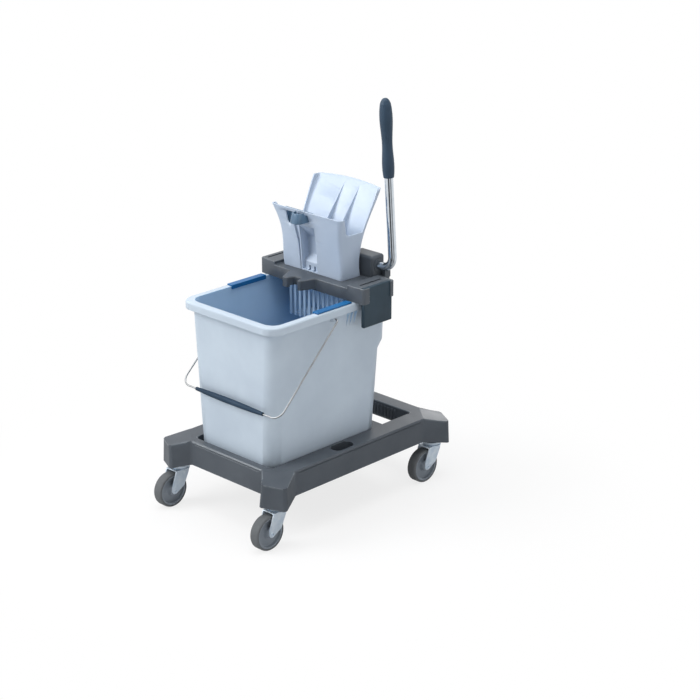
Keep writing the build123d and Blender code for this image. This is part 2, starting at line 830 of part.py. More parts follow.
with BuildPart() as press_holder:
    extrude(holder_face(rim_z), amount=deck_top - rim_z)
    # Raised end blocks
    with BuildSketch(Plane.XY.offset(deck_top)):
        add(holder_face(0))
        with Locations(((left_block_x + right_block_x) / 2, holder_mid_y)):
            Rectangle(right_block_x - left_block_x, 2 * holder_rear, mode=Mode.SUBTRACT)
        with Locations((0, holder_end_rear + holder_rear / 2)):
            Rectangle(2 * holder_right, holder_rear, mode=Mode.SUBTRACT)
    extrude(amount=block_top - deck_top)
    # Tongue with the pole notch, its top edges rounded
    with BuildPart(mode=Mode.PRIVATE) as tongue:
        with BuildSketch(Plane.XY.offset(tongue_bottom)) as tongue_plan:
            with BuildLine():
                Polyline(*tongue_points, close=True)
            make_face()
            tips = tongue_plan.vertices().filter_by(lambda v: v.Y < notch_rise_front)
            fillet(tips, tongue_r)
            ends = tongue_plan.vertices().filter_by(lambda v: abs(v.Y) < notch_r)
            fillet(ends, notch_r)
        extrude(amount=deck_top - tongue_bottom)
        fillet(tongue.faces().sort_by(Axis.Z)[-1].edges(), tongue_edge_r)
    add(tongue.part)
    # Raised rear corner beside the housing
    box_between(
        corner_block_left, holder_rear_half, corner_block_front, holder_rear,
        deck_under, corner_block_top,
    )
    # Hollow below: the middle, the blocks, the tongue and behind the panel channel
    with BuildSketch(Plane.XY.offset(rim_z)):
        add(holder_face(0, holder_wall))
        with Locations((holder_right, holder_mid_y)):
            Rectangle(2 * (holder_right - channel_wall_x + holder_wall), 2 * holder_rear, mode=Mode.SUBTRACT)
    extrude(amount=deck_under - rim_z, mode=Mode.SUBTRACT)
    for x0, x1 in ((holder_left + holder_wall, left_block_x - holder_wall),
                   (right_block_x + holder_wall, channel_wall_x - holder_wall)):
        box_between(
            x0, x1, holder_left_front + holder_corner, holder_end_rear - holder_wall,
            rim_z, block_top - holder_wall, Mode.SUBTRACT,
        )
    hollow = plan_face(grown(tongue_points, -holder_wall), tongue_bottom)
    extrude(hollow, amount=deck_under - tongue_bottom, mode=Mode.SUBTRACT)
    box_between(
        notch_rise_left, notch_rise_right, notch_rise_front, notch_rise_rear,
        tongue_bottom, tongue_bottom + notch_rise, Mode.SUBTRACT,
    )
    # Channel that holds the side panel, open outside between two lips
    box_between(
        channel_in, channel_out, panel_front - panel_gap, panel_rear + panel_gap,
        rim_z, block_top, Mode.SUBTRACT,
    )
    box_between(channel_in, holder_right, lip_front, lip_rear, rim_z, block_top, Mode.SUBTRACT)
    # Slots in the block tops
    with BuildSketch(Plane.XY.offset(deck_top)):
        with Locations((-block_slot_x, block_slot_y), (block_slot_x, block_slot_y)):
            SlotOverall(block_slot_length, block_slot_width, rotation=90)
    extrude(amount=block_top - deck_top, mode=Mode.SUBTRACT)
    # Throat for the funnel collar, slot for the sector gear and holes for the housing screws
    throat = rounded_face(
        press_x - collar_half - collar_gap, press_x + collar_half + collar_gap,
        collar_front - collar_gap, collar_rear + collar_gap, rim_z, funnel_corner - collar_inset,
    )
    extrude(throat, amount=block_top - rim_z, mode=Mode.SUBTRACT)
    box_between(
        gear_x - sector_side_gap, gear_x + gear_width + sector_side_gap, slot_front, slot_rear,
        rim_z, deck_top, Mode.SUBTRACT,
    )
    with BuildSketch(Plane.XY.offset(rim_z)):
        with Locations(*screw_places):
            Circle(screw_d / 2 + run_gap)
    extrude(amount=deck_top - rim_z, mode=Mode.SUBTRACT)
    # Locating ribs inside the bucket mouth
    for side in (-1, 1):
        rib_out = side * (bucket_in_x - locate_gap)
        rib_in = rib_out - side * holder_wall
        box_between(
            min(rib_in, rib_out), max(rib_in, rib_out), *locate_y,
            rim_z - locate_drop, block_top - holder_wall,
        )
    # Hangers for the press shaft
    for x in (hanger_left, hanger_right):
        with BuildSketch(Plane.YZ.offset(x)):
            with Locations((shaft_y, (hanger_bottom + deck_under) / 2)):
                Rectangle(hanger_length, deck_under - hanger_bottom)
            with Locations((shaft_y, shaft_z)):
                Circle(bush_d / 2, mode=Mode.SUBTRACT)
        extrude(amount=hanger_width)
save(press_holder.part, "press_holder")

with BuildPart() as side_panel:
    box_between(
        panel_inner_x, panel_inner_x + panel_thick, panel_front, panel_rear, panel_bottom, block_top
    )
    fillet(side_panel.edges(), panel_edge_r)
save(side_panel.part, "side_panel")

# Funnel


def funnel_face(z, front_half, rear_half, front, rear, inset):
    """Tapered plan section of the funnel at height z, moved inward by inset."""
    points = [
        (press_x - front_half + inset, front + inset), (press_x + front_half - inset, front + inset),
        (press_x + rear_half - inset, rear - inset), (press_x - rear_half + inset, rear - inset),
    ]
    return plan_face(points, z, funnel_corner - inset)


funnel_sections = (
    (deck_top, funnel_half, funnel_half, funnel_front, funnel_rear),
    (funnel_mid_z, funnel_mid_half, funnel_mid_half, funnel_mid_front, funnel_mid_rear),
    *funnel_flare,
)
floor_z = deck_top + channel_floor
strip_z = (deck_top, funnel_mid_z, channel_lip_z)
front_line = ((funnel_front, deck_top), (funnel_mid_front, funnel_mid_z), (funnel_flare[0][3], channel_lip_z))
opening_right = retainer_x + retainer_width / 2 + opening_side_gap
reach_left = press_x - funnel_reach
reach_right = press_x + funnel_reach
arch_low = funnel_top - arch_fall
arch_high = funnel_top + arch_fall

with BuildPart() as press_funnel:
    loft([funnel_face(*row, 0) for row in funnel_sections])
    loft([funnel_face(*row, funnel_wall) for row in funnel_sections], mode=Mode.SUBTRACT)
    # Mouth: low sides, a front lip and a tall sloped rear wall
    with BuildSketch(Plane.YZ.offset(reach_left)):
        with BuildLine():
            Polyline((-funnel_reach, funnel_top), (-funnel_reach, front_lip_z), (lip_end_y, front_lip_z))
            Line((lip_end_y, front_lip_z), (valley_front_y, valley_z + valley_r))
            RadiusArc((valley_front_y, valley_z + valley_r), (valley_front_y + valley_r, valley_z), -valley_r)
            Polyline(
                (valley_front_y + valley_r, valley_z), (valley_rear_y, valley_z),
                (wing_top_y, funnel_top), (-funnel_reach, funnel_top),
            )
        make_face()
    extrude(amount=2 * funnel_reach, mode=Mode.SUBTRACT)
    # Arched top edge of the rear wall
    with BuildSketch(Plane.XZ.offset(-2 * funnel_reach)):
        with BuildLine():
            ThreePointArc((reach_left, arch_low), (press_x, funnel_top), (reach_right, arch_low))
            Polyline(
                (reach_right, arch_low), (reach_right, arch_high), (reach_left, arch_high),
                (reach_left, arch_low),
            )
        make_face()
    extrude(amount=2 * funnel_reach, mode=Mode.SUBTRACT)
    # Fins on the rear wall
    for x in fin_x:
        with BuildSketch(Plane.YZ.offset(x - fin_sheet / 2)):
            with BuildLine():
                Polyline(*fin_back, *fin_edge, close=True)
            make_face()
        extrude(amount=fin_sheet)
    # Set-back strip on the left of the pole channel, with a wall behind it
    for grow, near, far, mode in (
        (channel_wall, strip_depth - bite, strip_depth + strip_wall, Mode.ADD),
        (0, -strip_depth, strip_depth, Mode.SUBTRACT),
    ):
        with BuildPart(mode=Mode.PRIVATE) as strip:
            with BuildSketch(Plane.XZ):
                with BuildLine():
                    Polyline(
                        (channel_left + bite, deck_top), *[(x - grow, z) for x, z in zip(strip_x, strip_z)],
                        (channel_left + bite, channel_lip_z), close=True,
                    )
                make_face()
            extrude(amount=-funnel_rear)
            with BuildSketch(Plane.YZ.offset(-funnel_reach)):
                with BuildLine():
                    Polyline(
                        *[(y + near, z) for y, z in front_line], *[(y + far, z) for y, z in front_line[::-1]],
                        close=True,
                    )
                make_face()
            extrude(amount=2 * funnel_reach, mode=Mode.INTERSECT)
        add(strip.part, mode=mode)
    # Channel for the mop pole sunk into the front wall, with a ramp at its foot
    channel_shell = (
        (funnel_front + bite, deck_top), (funnel_mid_front + bite, funnel_mid_z),
        (channel_lip_y, channel_lip_z), (channel_lip_y, channel_lip_z + channel_wall),
        (channel_back_y + channel_wall, channel_top_z), (channel_back_y + channel_wall, ramp_top_z),
        (ramp_foot_y + channel_wall, ramp_foot_z), (channel_foot_y + channel_wall, deck_top),
    )
    channel_space = (
        (0, floor_z), (channel_foot_y, floor_z), (ramp_foot_y, ramp_foot_z), (channel_back_y, ramp_top_z),
        (channel_back_y, channel_top_z - channel_wall),
        (channel_lip_y, channel_lip_z - channel_wall), (0, channel_lip_z - channel_wall),
    )
    for half, points, mode in (
        (channel_width / 2 + channel_wall, channel_shell, Mode.ADD),
        (channel_width / 2, channel_space, Mode.SUBTRACT),
    ):
        with BuildSketch(Plane.YZ.offset(channel_x - half)):
            with BuildLine():
                Polyline(*points, close=True)
            make_face()
        extrude(amount=2 * half, mode=mode)
    # Opening behind the pole retainer, deeper at its left end
    with BuildSketch(Plane.XZ):
        with Locations(((opening_left + opening_mid) / 2, (opening_bottom + opening_top) / 2)):
            RectangleRounded(opening_mid - opening_left, opening_top - opening_bottom, opening_r)
        upper_left = opening_mid - opening_r
        with Locations(((upper_left + opening_right) / 2, (opening_mid_bottom + opening_top) / 2)):
            Rectangle(opening_right - upper_left, opening_top - opening_mid_bottom)
    extrude(amount=-leaf_front, mode=Mode.SUBTRACT)
    # Collar down through the deck
    with BuildSketch(Plane.XY.offset(deck_top - collar_drop)):
        with Locations((press_x, (collar_front + collar_rear) / 2)):
            RectangleRounded(2 * collar_half, collar_rear - collar_front, funnel_corner - collar_inset)
            RectangleRounded(
                2 * (collar_half - funnel_wall), collar_rear - collar_front - 2 * funnel_wall,
                funnel_corner - collar_inset - funnel_wall, mode=Mode.SUBTRACT,
            )
    extrude(amount=collar_drop + collar_grip)
    # Drain slots in the ramp, open down through the channel floor and the collar
    drain_front = funnel_front + channel_wall
    drain_rear = ramp_foot_y + channel_wall
    for x in (channel_x - drain_pitch / 2, channel_x + drain_pitch / 2):
        box_between(
            x - drain_width / 2, x + drain_width / 2, drain_front, drain_rear,
            deck_top - collar_drop, deck_top + drain_height, Mode.SUBTRACT,
        )
save(press_funnel.part, "press_funnel")


def retainer_face(z, taper, inset):
    """Plan of the retainer loop at height z, drawn in by taper at the front and the sides."""
    half = retainer_width / 2 - taper - inset
    return rounded_face(
        retainer_x - half, retainer_x + half, retainer_front + taper + inset, retainer_back - inset, z,
        retainer_r - inset,
    )


retainer_top = retainer_z + retainer_height
leaf_rear = leaf_front + leaf_sheet

with BuildPart() as pole_retainer:
    for inset, mode in ((0, Mode.ADD), (retainer_sheet, Mode.SUBTRACT)):
        faces = [retainer_face(retainer_z, 0, inset), retainer_face(retainer_top, retainer_taper, inset)]
        loft(faces, ruled=True, mode=mode)
    # Arms low enough to pass through the opening in the funnel wall, ending at a leaf behind it
    box_between(
        opening_left, opening_right, retainer_neck_y, retainer_back,
        opening_top - panel_gap, retainer_top, Mode.SUBTRACT,
    )
    box_between(
        opening_left, opening_right, leaf_front, retainer_back, retainer_z, retainer_top, Mode.SUBTRACT
    )
    box_between(
        opening_left - leaf_reach, opening_mid, leaf_front, leaf_rear,
        opening_bottom - leaf_fall, opening_top + leaf_lap,
    )
    box_between(
        opening_mid, opening_right + leaf_lap, leaf_front, leaf_rear,
        opening_mid_bottom, opening_top + leaf_lap,
    )
save(pole_retainer.part, "pole_retainer")

# Sieve basket

flange_top = deck_under
flange_seat = deck_top - collar_drop
flange_under = flange_seat - basket_wall
basket_left = press_x - basket_half
basket_right = press_x + basket_half

with BuildPart() as sieve_basket:
    box_between(basket_left, basket_right, basket_front, basket_rear, basket_bottom, flange_seat)
    box_between(
        press_x - collar_half - basket_flange, press_x + collar_half + basket_flange,
        collar_front - basket_flange, basket_flange_rear, flange_under, flange_top,
    )
    box_between(
        basket_left + basket_wall, basket_right - basket_wall, basket_front + basket_wall, basket_rear,
        basket_bottom + basket_wall, flange_top, Mode.SUBTRACT,
    )
    box_between(
        press_x - collar_half - collar_gap, press_x + collar_half + collar_gap,
        collar_front - collar_gap, basket_flange_rear, flange_seat, flange_top, Mode.SUBTRACT,
    )
    # Upright slots through the front that turn under the floor
    with Locations((press_x, basket_front, basket_bottom)):
        with GridLocations(sieve_pitch, 1, sieve_count, 1):
            Box(
                sieve_slot, 2 * (basket_wall + sieve_under), 2 * (sieve_top - basket_bottom),
                mode=Mode.SUBTRACT,
            )
save(sieve_basket.part, "sieve_basket")

# Gears

gear_pitch_r = gear_module * gear_teeth / 2
gear_base_r = gear_pitch_r * cos(radians(pressure_angle))


def tooth_half_angle(r):
    """Half the angle that an involute tooth covers at radius r, in radians."""
    at_pitch = pi / (2 * gear_teeth) - backlash / (4 * gear_pitch_r)
    slant = 0
    if r > gear_base_r:
        slant = sqrt((r / gear_base_r) ** 2 - 1) - atan2(sqrt(r * r - gear_base_r**2), gear_base_r)
    return at_pitch + tan(radians(pressure_angle)) - radians(pressure_angle) - slant


def gear_face(x, y, z, first):
    """Gear section on a plane across X at x, with one tooth centred on the angle first in degrees."""
    root_r = gear_pitch_r - gear_root * gear_module
    radii = (root_r, gear_pitch_r, gear_pitch_r + gear_module)
    with BuildSketch(Plane.YZ.offset(x)) as face:
        with Locations((y, z)):
            Circle(root_r)
        for k in range(gear_teeth):
            turn = radians(first) + 2 * pi * k / gear_teeth
            flanks = []
            for side in (-1, 1):
                angles = [turn + side * tooth_half_angle(r) for r in radii]
                flanks.append([(y + r * cos(a), z + r * sin(a)) for r, a in zip(radii, angles)])
            with BuildLine():
                ThreePointArc(*flanks[0])
                Line(flanks[0][2], flanks[1][2])
                ThreePointArc(*flanks[1][::-1])
                Polyline(flanks[1][0], (y, z), flanks[0][0])
            make_face()
    return face.sketch


def sector_gear(y, z, first, start, hub, bore):
    """Toothed sector across X with a round hub, its teeth covering the angles up from start."""
    reach = 2 * gear_module * gear_teeth
    turns = [radians(start), radians(start + sector_teeth * tooth_pitch)]
    ends = [(y + reach * cos(turn), z + reach * sin(turn)) for turn in turns]
    with BuildPart() as sector:
        extrude(gear_face(gear_x, y, z, first), amount=gear_width)
        with BuildSketch(Plane.YZ.offset(gear_x)):
            with BuildLine():
                Polyline((y, z), *ends, close=True)
            make_face()
        extrude(amount=gear_width, mode=Mode.INTERSECT)
        for d, mode in ((hub, Mode.ADD), (bore, Mode.SUBTRACT)):
            with BuildSketch(Plane.YZ.offset(gear_x)):
                with Locations((y, z)):
                    Circle(d / 2)
            extrude(amount=gear_width, mode=mode)
    return sector.part


# At rest a tooth of the lower sector points straight up into a gap of the upper one
tooth_pitch = 360 / gear_teeth
press_first = 90
press_start = press_first - tooth_pitch / 2
lever_first = -90 + tooth_pitch / 2
lever_start = -90 + tooth_pitch - sector_teeth * tooth_pitch
save(sector_gear(axis_y, axis_z, lever_first, lever_start, lever_hub_d, tube_d), "lever_sector")
save(sector_gear(shaft_y, shaft_z, press_first, press_start, plate_hub_d, shaft_d), "press_sector")

# Lever

lean = radians(lever_lean)
lever_plane = Plane(origin=(lever_x, axis_y, axis_z), x_dir=(1, 0, 0), z_dir=(0, -cos(lean), -sin(lean)))
lever_axis = Axis((lever_x, axis_y, axis_z), (0, -sin(lean), cos(lean)))

with BuildPart() as lever_tube:
    with BuildLine(lever_plane) as tube_path:
        FilletPolyline((tube_end_x - lever_x, 0), (0, 0), (0, tube_top), radius=tube_bend_r)
    with BuildSketch(tube_path.line ^ 0):
        Circle(tube_d / 2)
        Circle(tube_d / 2 - tube_wall, mode=Mode.SUBTRACT)
    sweep()
save(lever_tube.part, "lever_tube")

with BuildPart() as lever_grip:
    with BuildSketch(lever_plane):
        with BuildLine():
            Polyline((0, lever_length), (0, tube_top), (tube_d / 2, tube_top), (tube_d / 2, lever_grip_from),
                     (grip_mouth_d / 2, lever_grip_from))
            Spline(
                (grip_mouth_d / 2, lever_grip_from), (grip_lower_d / 2, lever_length - grip_lower_drop),
                (grip_waist_d / 2, lever_length - grip_waist_drop),
                (grip_upper_d / 2, lever_length - grip_upper_drop),
                (grip_shoulder_d / 2, lever_length - grip_shoulder_drop),
            )
            Spline(
                (grip_shoulder_d / 2, lever_length - grip_shoulder_drop), (0, lever_length),
                tangents=[(-grip_top_lean, 1), (-1, 0)],
            )
        make_face()
    revolve(axis=lever_axis)
save(lever_grip.part, "lever_grip")

# Gear housing

with BuildPart() as gear_housing:
    box_between(housing_left, housing_right, housing_front, housing_rear, deck_top, housing_top)
    fillet(gear_housing.edges().filter_by(Axis.Z), housing_edge_r)
    fillet(gear_housing.faces().sort_by(Axis.Z)[-1].edges(), housing_edge_r)
    inside = rounded_face(
        housing_left + housing_wall, housing_right - housing_wall, housing_front + housing_wall,
        housing_rear - housing_wall, deck_top, housing_edge_r - housing_wall,
    )
    extrude(inside, amount=housing_top - housing_wall - deck_top, mode=Mode.SUBTRACT)
    with BuildSketch(Plane.XY.offset(deck_top)):
        with Locations(*screw_places):
            Circle(post_d / 2)
            Circle(screw_d / 2, mode=Mode.SUBTRACT)
    extrude(amount=post_height)
    for x, d in ((housing_left, tube_d + 2 * run_gap), (housing_right - housing_wall, lever_bush_d)):
        with BuildSketch(Plane.YZ.offset(x)):
            with Locations((axis_y, axis_z)):
                Circle(d / 2)
        extrude(amount=housing_wall, mode=Mode.SUBTRACT)
save(gear_housing.part, "gear_housing")


def bush(x, y, z, outer, bore, length, flange_outer=0, flange=0):
    """Plain bush along X with an optional flange beyond its far end."""
    with BuildPart() as sleeve:
        with BuildSketch(Plane.YZ.offset(x)):
            with Locations((y, z)):
                Circle(outer / 2)
                Circle(bore / 2, mode=Mode.SUBTRACT)
        extrude(amount=length)
        if flange:
            with BuildSketch(Plane.YZ.offset(x + length)):
                with Locations((y, z)):
                    Circle(flange_outer / 2)
                    Circle(bore / 2, mode=Mode.SUBTRACT)
            extrude(amount=flange)
    return sleeve.part


save(
    bush(
        housing_right - housing_wall, axis_y, axis_z, lever_bush_d, tube_d + 2 * run_gap, housing_wall,
        lever_bush_flange_d, lever_bush_flange,
    ),
    "lever_bush",
)
for name, x in (("left", hanger_left), ("right", hanger_right)):
    save(bush(x, shaft_y, shaft_z, bush_d, shaft_d + 2 * run_gap, hanger_width), f"shaft_bush_{name}")

with BuildPart() as housing_screws:
    with BuildSketch(Plane.XY.offset(deck_under - screw_head)):
        with Locations(*screw_places):
            Circle(screw_head_d / 2)
    extrude(amount=screw_head)
    with BuildSketch(Plane.XY.offset(deck_under)):
        with Locations(*screw_places):
            Circle(screw_d / 2)
    extrude(amount=screw_length)
save(housing_screws.part, "housing_screws")

# Press rocker

with BuildPart() as press_shaft:
    with BuildSketch(Plane.YZ.offset(shaft_left)):
        with Locations((shaft_y, shaft_z)):
            Circle(shaft_d / 2)
    extrude(amount=shaft_right - shaft_left)
save(press_shaft.part, "press_shaft")

plate_bottom = shaft_z - plate_reach
plate_back = plate_front + plate_thick
plate_hub_r = plate_hub_d / 2

with BuildPart() as press_plate:
    box_between(press_x - plate_half, press_x + plate_half, plate_front, plate_back, plate_bottom, plate_top)
    # Upright ribs behind the plate
    for k in range(plate_rib_count):
        x = press_x + (k - (plate_rib_count - 1) / 2) * plate_rib_pitch
        box_between(
            x - plate_rib / 2, x + plate_rib / 2, plate_back, plate_back + plate_rib_depth,
            plate_bottom, plate_top,
        )
    # Arms and hubs on the shaft
    for side in (-1, 1):
        with BuildSketch(Plane.YZ.offset(press_x + side * plate_hub_x - plate_hub_width / 2)):
            with BuildLine():
                Polyline(
                    (plate_front, plate_top), (shaft_y - plate_hub_r, shaft_z),
                    (shaft_y + plate_hub_r, shaft_z), (plate_back, plate_top - plate_arm),
                    (plate_front, plate_top - plate_arm), close=True,
                )
            make_face()
            with Locations((shaft_y, shaft_z)):
                Circle(plate_hub_r)
                Circle(shaft_d / 2, mode=Mode.SUBTRACT)
        extrude(amount=plate_hub_width)
save(press_plate.part, "press_plate")
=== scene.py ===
import json
import math

import bmesh
import bpy
from mathutils import Matrix, Vector
from mathutils.bvhtree import BVHTree


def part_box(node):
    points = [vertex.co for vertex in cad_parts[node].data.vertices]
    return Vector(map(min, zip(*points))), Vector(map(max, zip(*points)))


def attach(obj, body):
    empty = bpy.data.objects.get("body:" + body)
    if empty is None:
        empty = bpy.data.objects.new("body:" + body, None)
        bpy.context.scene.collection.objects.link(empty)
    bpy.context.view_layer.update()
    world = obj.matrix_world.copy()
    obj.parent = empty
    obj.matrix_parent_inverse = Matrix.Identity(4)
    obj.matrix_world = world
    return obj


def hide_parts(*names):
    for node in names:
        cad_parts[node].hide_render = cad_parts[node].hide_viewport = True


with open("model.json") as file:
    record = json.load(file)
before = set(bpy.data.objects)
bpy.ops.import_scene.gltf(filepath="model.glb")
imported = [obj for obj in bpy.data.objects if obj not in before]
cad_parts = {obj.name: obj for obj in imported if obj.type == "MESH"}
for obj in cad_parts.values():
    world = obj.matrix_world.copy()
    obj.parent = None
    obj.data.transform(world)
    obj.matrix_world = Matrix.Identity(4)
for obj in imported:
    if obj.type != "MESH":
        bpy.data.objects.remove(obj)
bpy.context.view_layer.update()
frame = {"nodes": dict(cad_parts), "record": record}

scene = bpy.context.scene
nodes = frame["nodes"]
record = frame["record"]
MM = 0.001
# Corners that lie closer than this, in metres, are one
SAME_PLACE = 2e-6
CASTORS = ("front_left", "front_right", "rear_left", "rear_right")
slot_of = {entry["node"]: entry["material_slot"] for entry in record["subparts"]}
body_of = {
    node: body
    for body, members in record["behaviour"]["bodies"].items()
    for node in members
}

# Camera, fitted to the photo's view: lengths in metres, places in the picture in pixels
AZIMUTH = math.radians(44.2872)
ELEVATION = math.radians(20.4892)
FOCAL_PX = 1880.0
FRAME_PX = 700.0
AIM = Vector((0.0, 0.014, 0.300))
AIM_PX = (306.76, 359.88)
DISTANCE = 4.0
SENSOR_MM = 36.0
FAR_CLIP = 50.0

back = Vector((
    math.sin(AZIMUTH) * math.cos(ELEVATION),
    -math.cos(AZIMUTH) * math.cos(ELEVATION),
    math.sin(ELEVATION),
))
right = Vector((math.cos(AZIMUTH), math.sin(AZIMUTH), 0.0))
up = back.cross(right)
eye = AIM + back * DISTANCE
eye += right * ((FRAME_PX / 2 - AIM_PX[0]) / FOCAL_PX * DISTANCE)
eye += up * ((AIM_PX[1] - FRAME_PX / 2) / FOCAL_PX * DISTANCE)
lens = bpy.data.cameras.new("camera")
lens.sensor_width = SENSOR_MM
lens.lens = FOCAL_PX / FRAME_PX * lens.sensor_width
lens.clip_end = FAR_CLIP
camera = bpy.data.objects.new("camera", lens)
camera.matrix_world = (
    Matrix.Translation(eye) @ Matrix((right, up, back)).transposed().to_4x4()
)
scene.collection.objects.link(camera)
scene.camera = camera
scene.view_settings.view_transform = "Standard"


def srgb(text):
    """Linear colour with full alpha from a hex colour as seen on a screen."""
    parts = [int(text[i:i + 2], 16) / 255 for i in (1, 3, 5)]
    linear = (p / 12.92 if p <= 0.04045 else ((p + 0.055) / 1.055) ** 2.4 for p in parts)
    return (*linear, 1.0)


def add(tree, kind, links=None, values=None, **settings):
    """Add a node with its settings, its input values and its incoming links."""
    made = tree.nodes.new(kind)
    for key, value in settings.items():
        setattr(made, key, value)
    for key, value in (values or {}).items():
        made.inputs[key].default_value = value
    for key, source in (links or {}).items():
        tree.links.new(source, made.inputs[key])
    return made


# Finishes
# Sockets of a node that mixes colours
MIX_FACTOR, MIX_A, MIX_B, MIX_COLOUR = 0, 6, 7, 2
# Sizes of the patterns, in millimetres: clouds in the colour of plastic, patches in its
# gloss, blotches in the colour of metal, and the lines that its making leaves
CLOUD_MM = 90.0
PATCH_MM = 35.0
BLOTCH_MM = 14.0
LINE_MM = 1.2
# How ragged clouds and blotches are
CLOUD_BLEND = 0.55
BLOTCH_BLEND = 0.5
# Middle of a noise that is spread over the whole change of colour or of gloss
COLOUR_MIDDLE = (0.35, 0.65)
GLOSS_MIDDLE = (0.3, 0.7)
# How far the roughness drifts, and how strongly the relief shows
PLASTIC_DRIFT = (-0.05, 0.05)
METAL_DRIFT = (-0.03, 0.04)
GRAIN_STRENGTH = 0.6
LINE_STRENGTH = 0.3
# Distance from a bucket's axis, in metres, times the cosine of a wall to it: inside, outside
INNER_WALL, OUTER_WALL = -0.05, -0.02


def new_finish(name):
    """New material, its tree, its surface and the object coordinates of its patterns."""
    material = bpy.data.materials.new(name)
    material.use_nodes = True
    tree = material.node_tree
    surface = next(n for n in tree.nodes if n.type == "BSDF_PRINCIPLED")
    return material, tree, surface, add(tree, "ShaderNodeTexCoord").outputs["Object"]


def clouded(tree, place, size_mm, blend, shades):
    """Colours that drift from dark to light in clouds of a real size, one for each pair."""
    cloud = add(
        tree, "ShaderNodeTexNoise", {"Vector": place},
        {"Scale": 1 / (size_mm * MM), "Detail": 4.0, "Roughness": blend},
    )
    even = add(
        tree, "ShaderNodeMapRange", {"Value": cloud.outputs["Fac"]},
        {"From Min": COLOUR_MIDDLE[0], "From Max": COLOUR_MIDDLE[1]},
    )
    return [add(
        tree, "ShaderNodeMix", {MIX_FACTOR: even.outputs["Result"]},
        {MIX_A: srgb(dark), MIX_B: srgb(light)}, data_type="RGBA",
    ).outputs[MIX_COLOUR] for dark, light in shades]


def facing_in(tree, place, centre):
    """Factor that is 1 on walls that face an upright axis through centre, and 0 on those
    that face away."""
    away = add(
        tree, "ShaderNodeVectorMath", {0: place}, {1: (centre[0], centre[1], 0.0)},
        operation="SUBTRACT",
    )
    flat = add(
        tree, "ShaderNodeVectorMath", {0: away.outputs["Vector"]}, {1: (1.0, 1.0, 0.0)},
        operation="MULTIPLY",
    )
    normal = add(tree, "ShaderNodeNewGeometry").outputs["Normal"]
    outward = add(
        tree, "ShaderNodeVectorMath", {0: flat.outputs["Vector"], 1: normal},
        operation="DOT_PRODUCT",
    )
    return add(
        tree, "ShaderNodeMapRange", {"Value": outward.outputs["Value"]},
        {"From Min": INNER_WALL, "From Max": OUTER_WALL, "To Min": 1.0, "To Max": 0.0},
    ).outputs["Result"]


def surfaced(tree, surface, colour, gloss_noise, relief_noise, rough, drift, strength, depth_mm):
    """Give a surface its colour, a roughness that drifts with one noise, and a relief that
    follows another."""
    dull = add(
        tree, "ShaderNodeMapRange", {"Value": gloss_noise.outputs["Fac"]},
        {"From Min": GLOSS_MIDDLE[0], "From Max": GLOSS_MIDDLE[1],
         "To Min": rough + drift[0], "To Max": rough + drift[1]},
    )
    relief = add(
        tree, "ShaderNodeBump", {"Height": relief_noise.outputs["Fac"]},
        {"Strength": strength, "Distance": depth_mm * MM},
    )
    tree.links.new(colour, surface.inputs["Base Color"])
    tree.links.new(dull.outputs["Result"], surface.inputs["Roughness"])
    tree.links.new(relief.outputs["Normal"], surface.inputs["Normal"])


def moulded(name, dark, light, rough, grain_mm, depth_mm, gloss=0.5, inside=None):
    """Injection-moulded plastic: clouds in the colour, patches in the gloss, and the grain
    of the tool. The real grain is a few tenths of a millimetre. It is drawn coarser, so
    that it shows. Inside gives the two shades of painted shade on inner walls and the axis that
    they face."""
    material, tree, surface, place = new_finish(name)
    if inside:
        outer, inner = clouded(
            tree, place, CLOUD_MM, CLOUD_BLEND, ((dark, light), inside[:2])
        )
        # Walls that face the axis take the inner colours, a painted shade
        colour = add(
            tree, "ShaderNodeMix",
            {MIX_FACTOR: facing_in(tree, place, inside[2]), MIX_A: outer, MIX_B: inner},
            data_type="RGBA",
        ).outputs[MIX_COLOUR]
    else:
        colour, = clouded(tree, place, CLOUD_MM, CLOUD_BLEND, ((dark, light),))
    patch = add(
        tree, "ShaderNodeTexNoise", {"Vector": place},
        {"Scale": 1 / (PATCH_MM * MM), "Detail": 3.0},
    )
    grain = add(
        tree, "ShaderNodeTexNoise", {"Vector": place},
        {"Scale": 1 / (grain_mm * MM), "Detail": 2.0},
    )
    surfaced(
        tree, surface, colour, patch, grain, rough, PLASTIC_DRIFT, GRAIN_STRENGTH, depth_mm
    )
    surface.inputs["Specular IOR Level"].default_value = gloss
    return material


def plated(name, dark, light, rough, stretch, depth_mm, metal=1.0):
    """Bright metal: blotches in the colour, and fine lines, drawn out one way, in the gloss.
    The real lines are hair fine. They are drawn coarser, so that they show."""
    material, tree, surface, place = new_finish(name)
    colour, = clouded(tree, place, BLOTCH_MM, BLOTCH_BLEND, ((dark, light),))
    drawn = add(tree, "ShaderNodeMapping", {"Vector": place}, {"Scale": stretch})
    lines = add(
        tree, "ShaderNodeTexNoise", {"Vector": drawn.outputs["Vector"]},
        {"Scale": 1 / (LINE_MM * MM), "Detail": 2.0},
    )
    surfaced(
        tree, surface, colour, lines, lines, rough, METAL_DRIFT, LINE_STRENGTH, depth_mm
    )
    surface.inputs["Metallic"].default_value = metal
    return material


# Moulded polypropylene of the chassis and the bridge: cloudy dark grey, satin, with a fine
# tool grain
chassis_polypropylene = moulded(
    "chassis_polypropylene", "#4a5057", "#51575e",
    rough=0.38, grain_mm=0.9, depth_mm=0.02, gloss=0.25,
)
# The same plastic on the rounded edges: a shade lighter as a painted highlight, with a clear
# shine
edge_highlight_polypropylene = moulded(
    "edge_highlight_polypropylene", "#5c636a", "#666d74",
    rough=0.28, grain_mm=0.9, depth_mm=0.006,
)
# Moulded polypropylene of the bucket: pale blue grey with a dull shine, and painted shade on
# the inside walls: a deeper blue that stands for the light bounced between them
bucket_polypropylene = moulded(
    "bucket_polypropylene", "#b3c0cd", "#bac7d3",
    rough=0.48, grain_mm=1.6, depth_mm=0.012, gloss=0.3,
    inside=("#a6c4e0", "#aecbe6", (0.0, -0.034)),
)
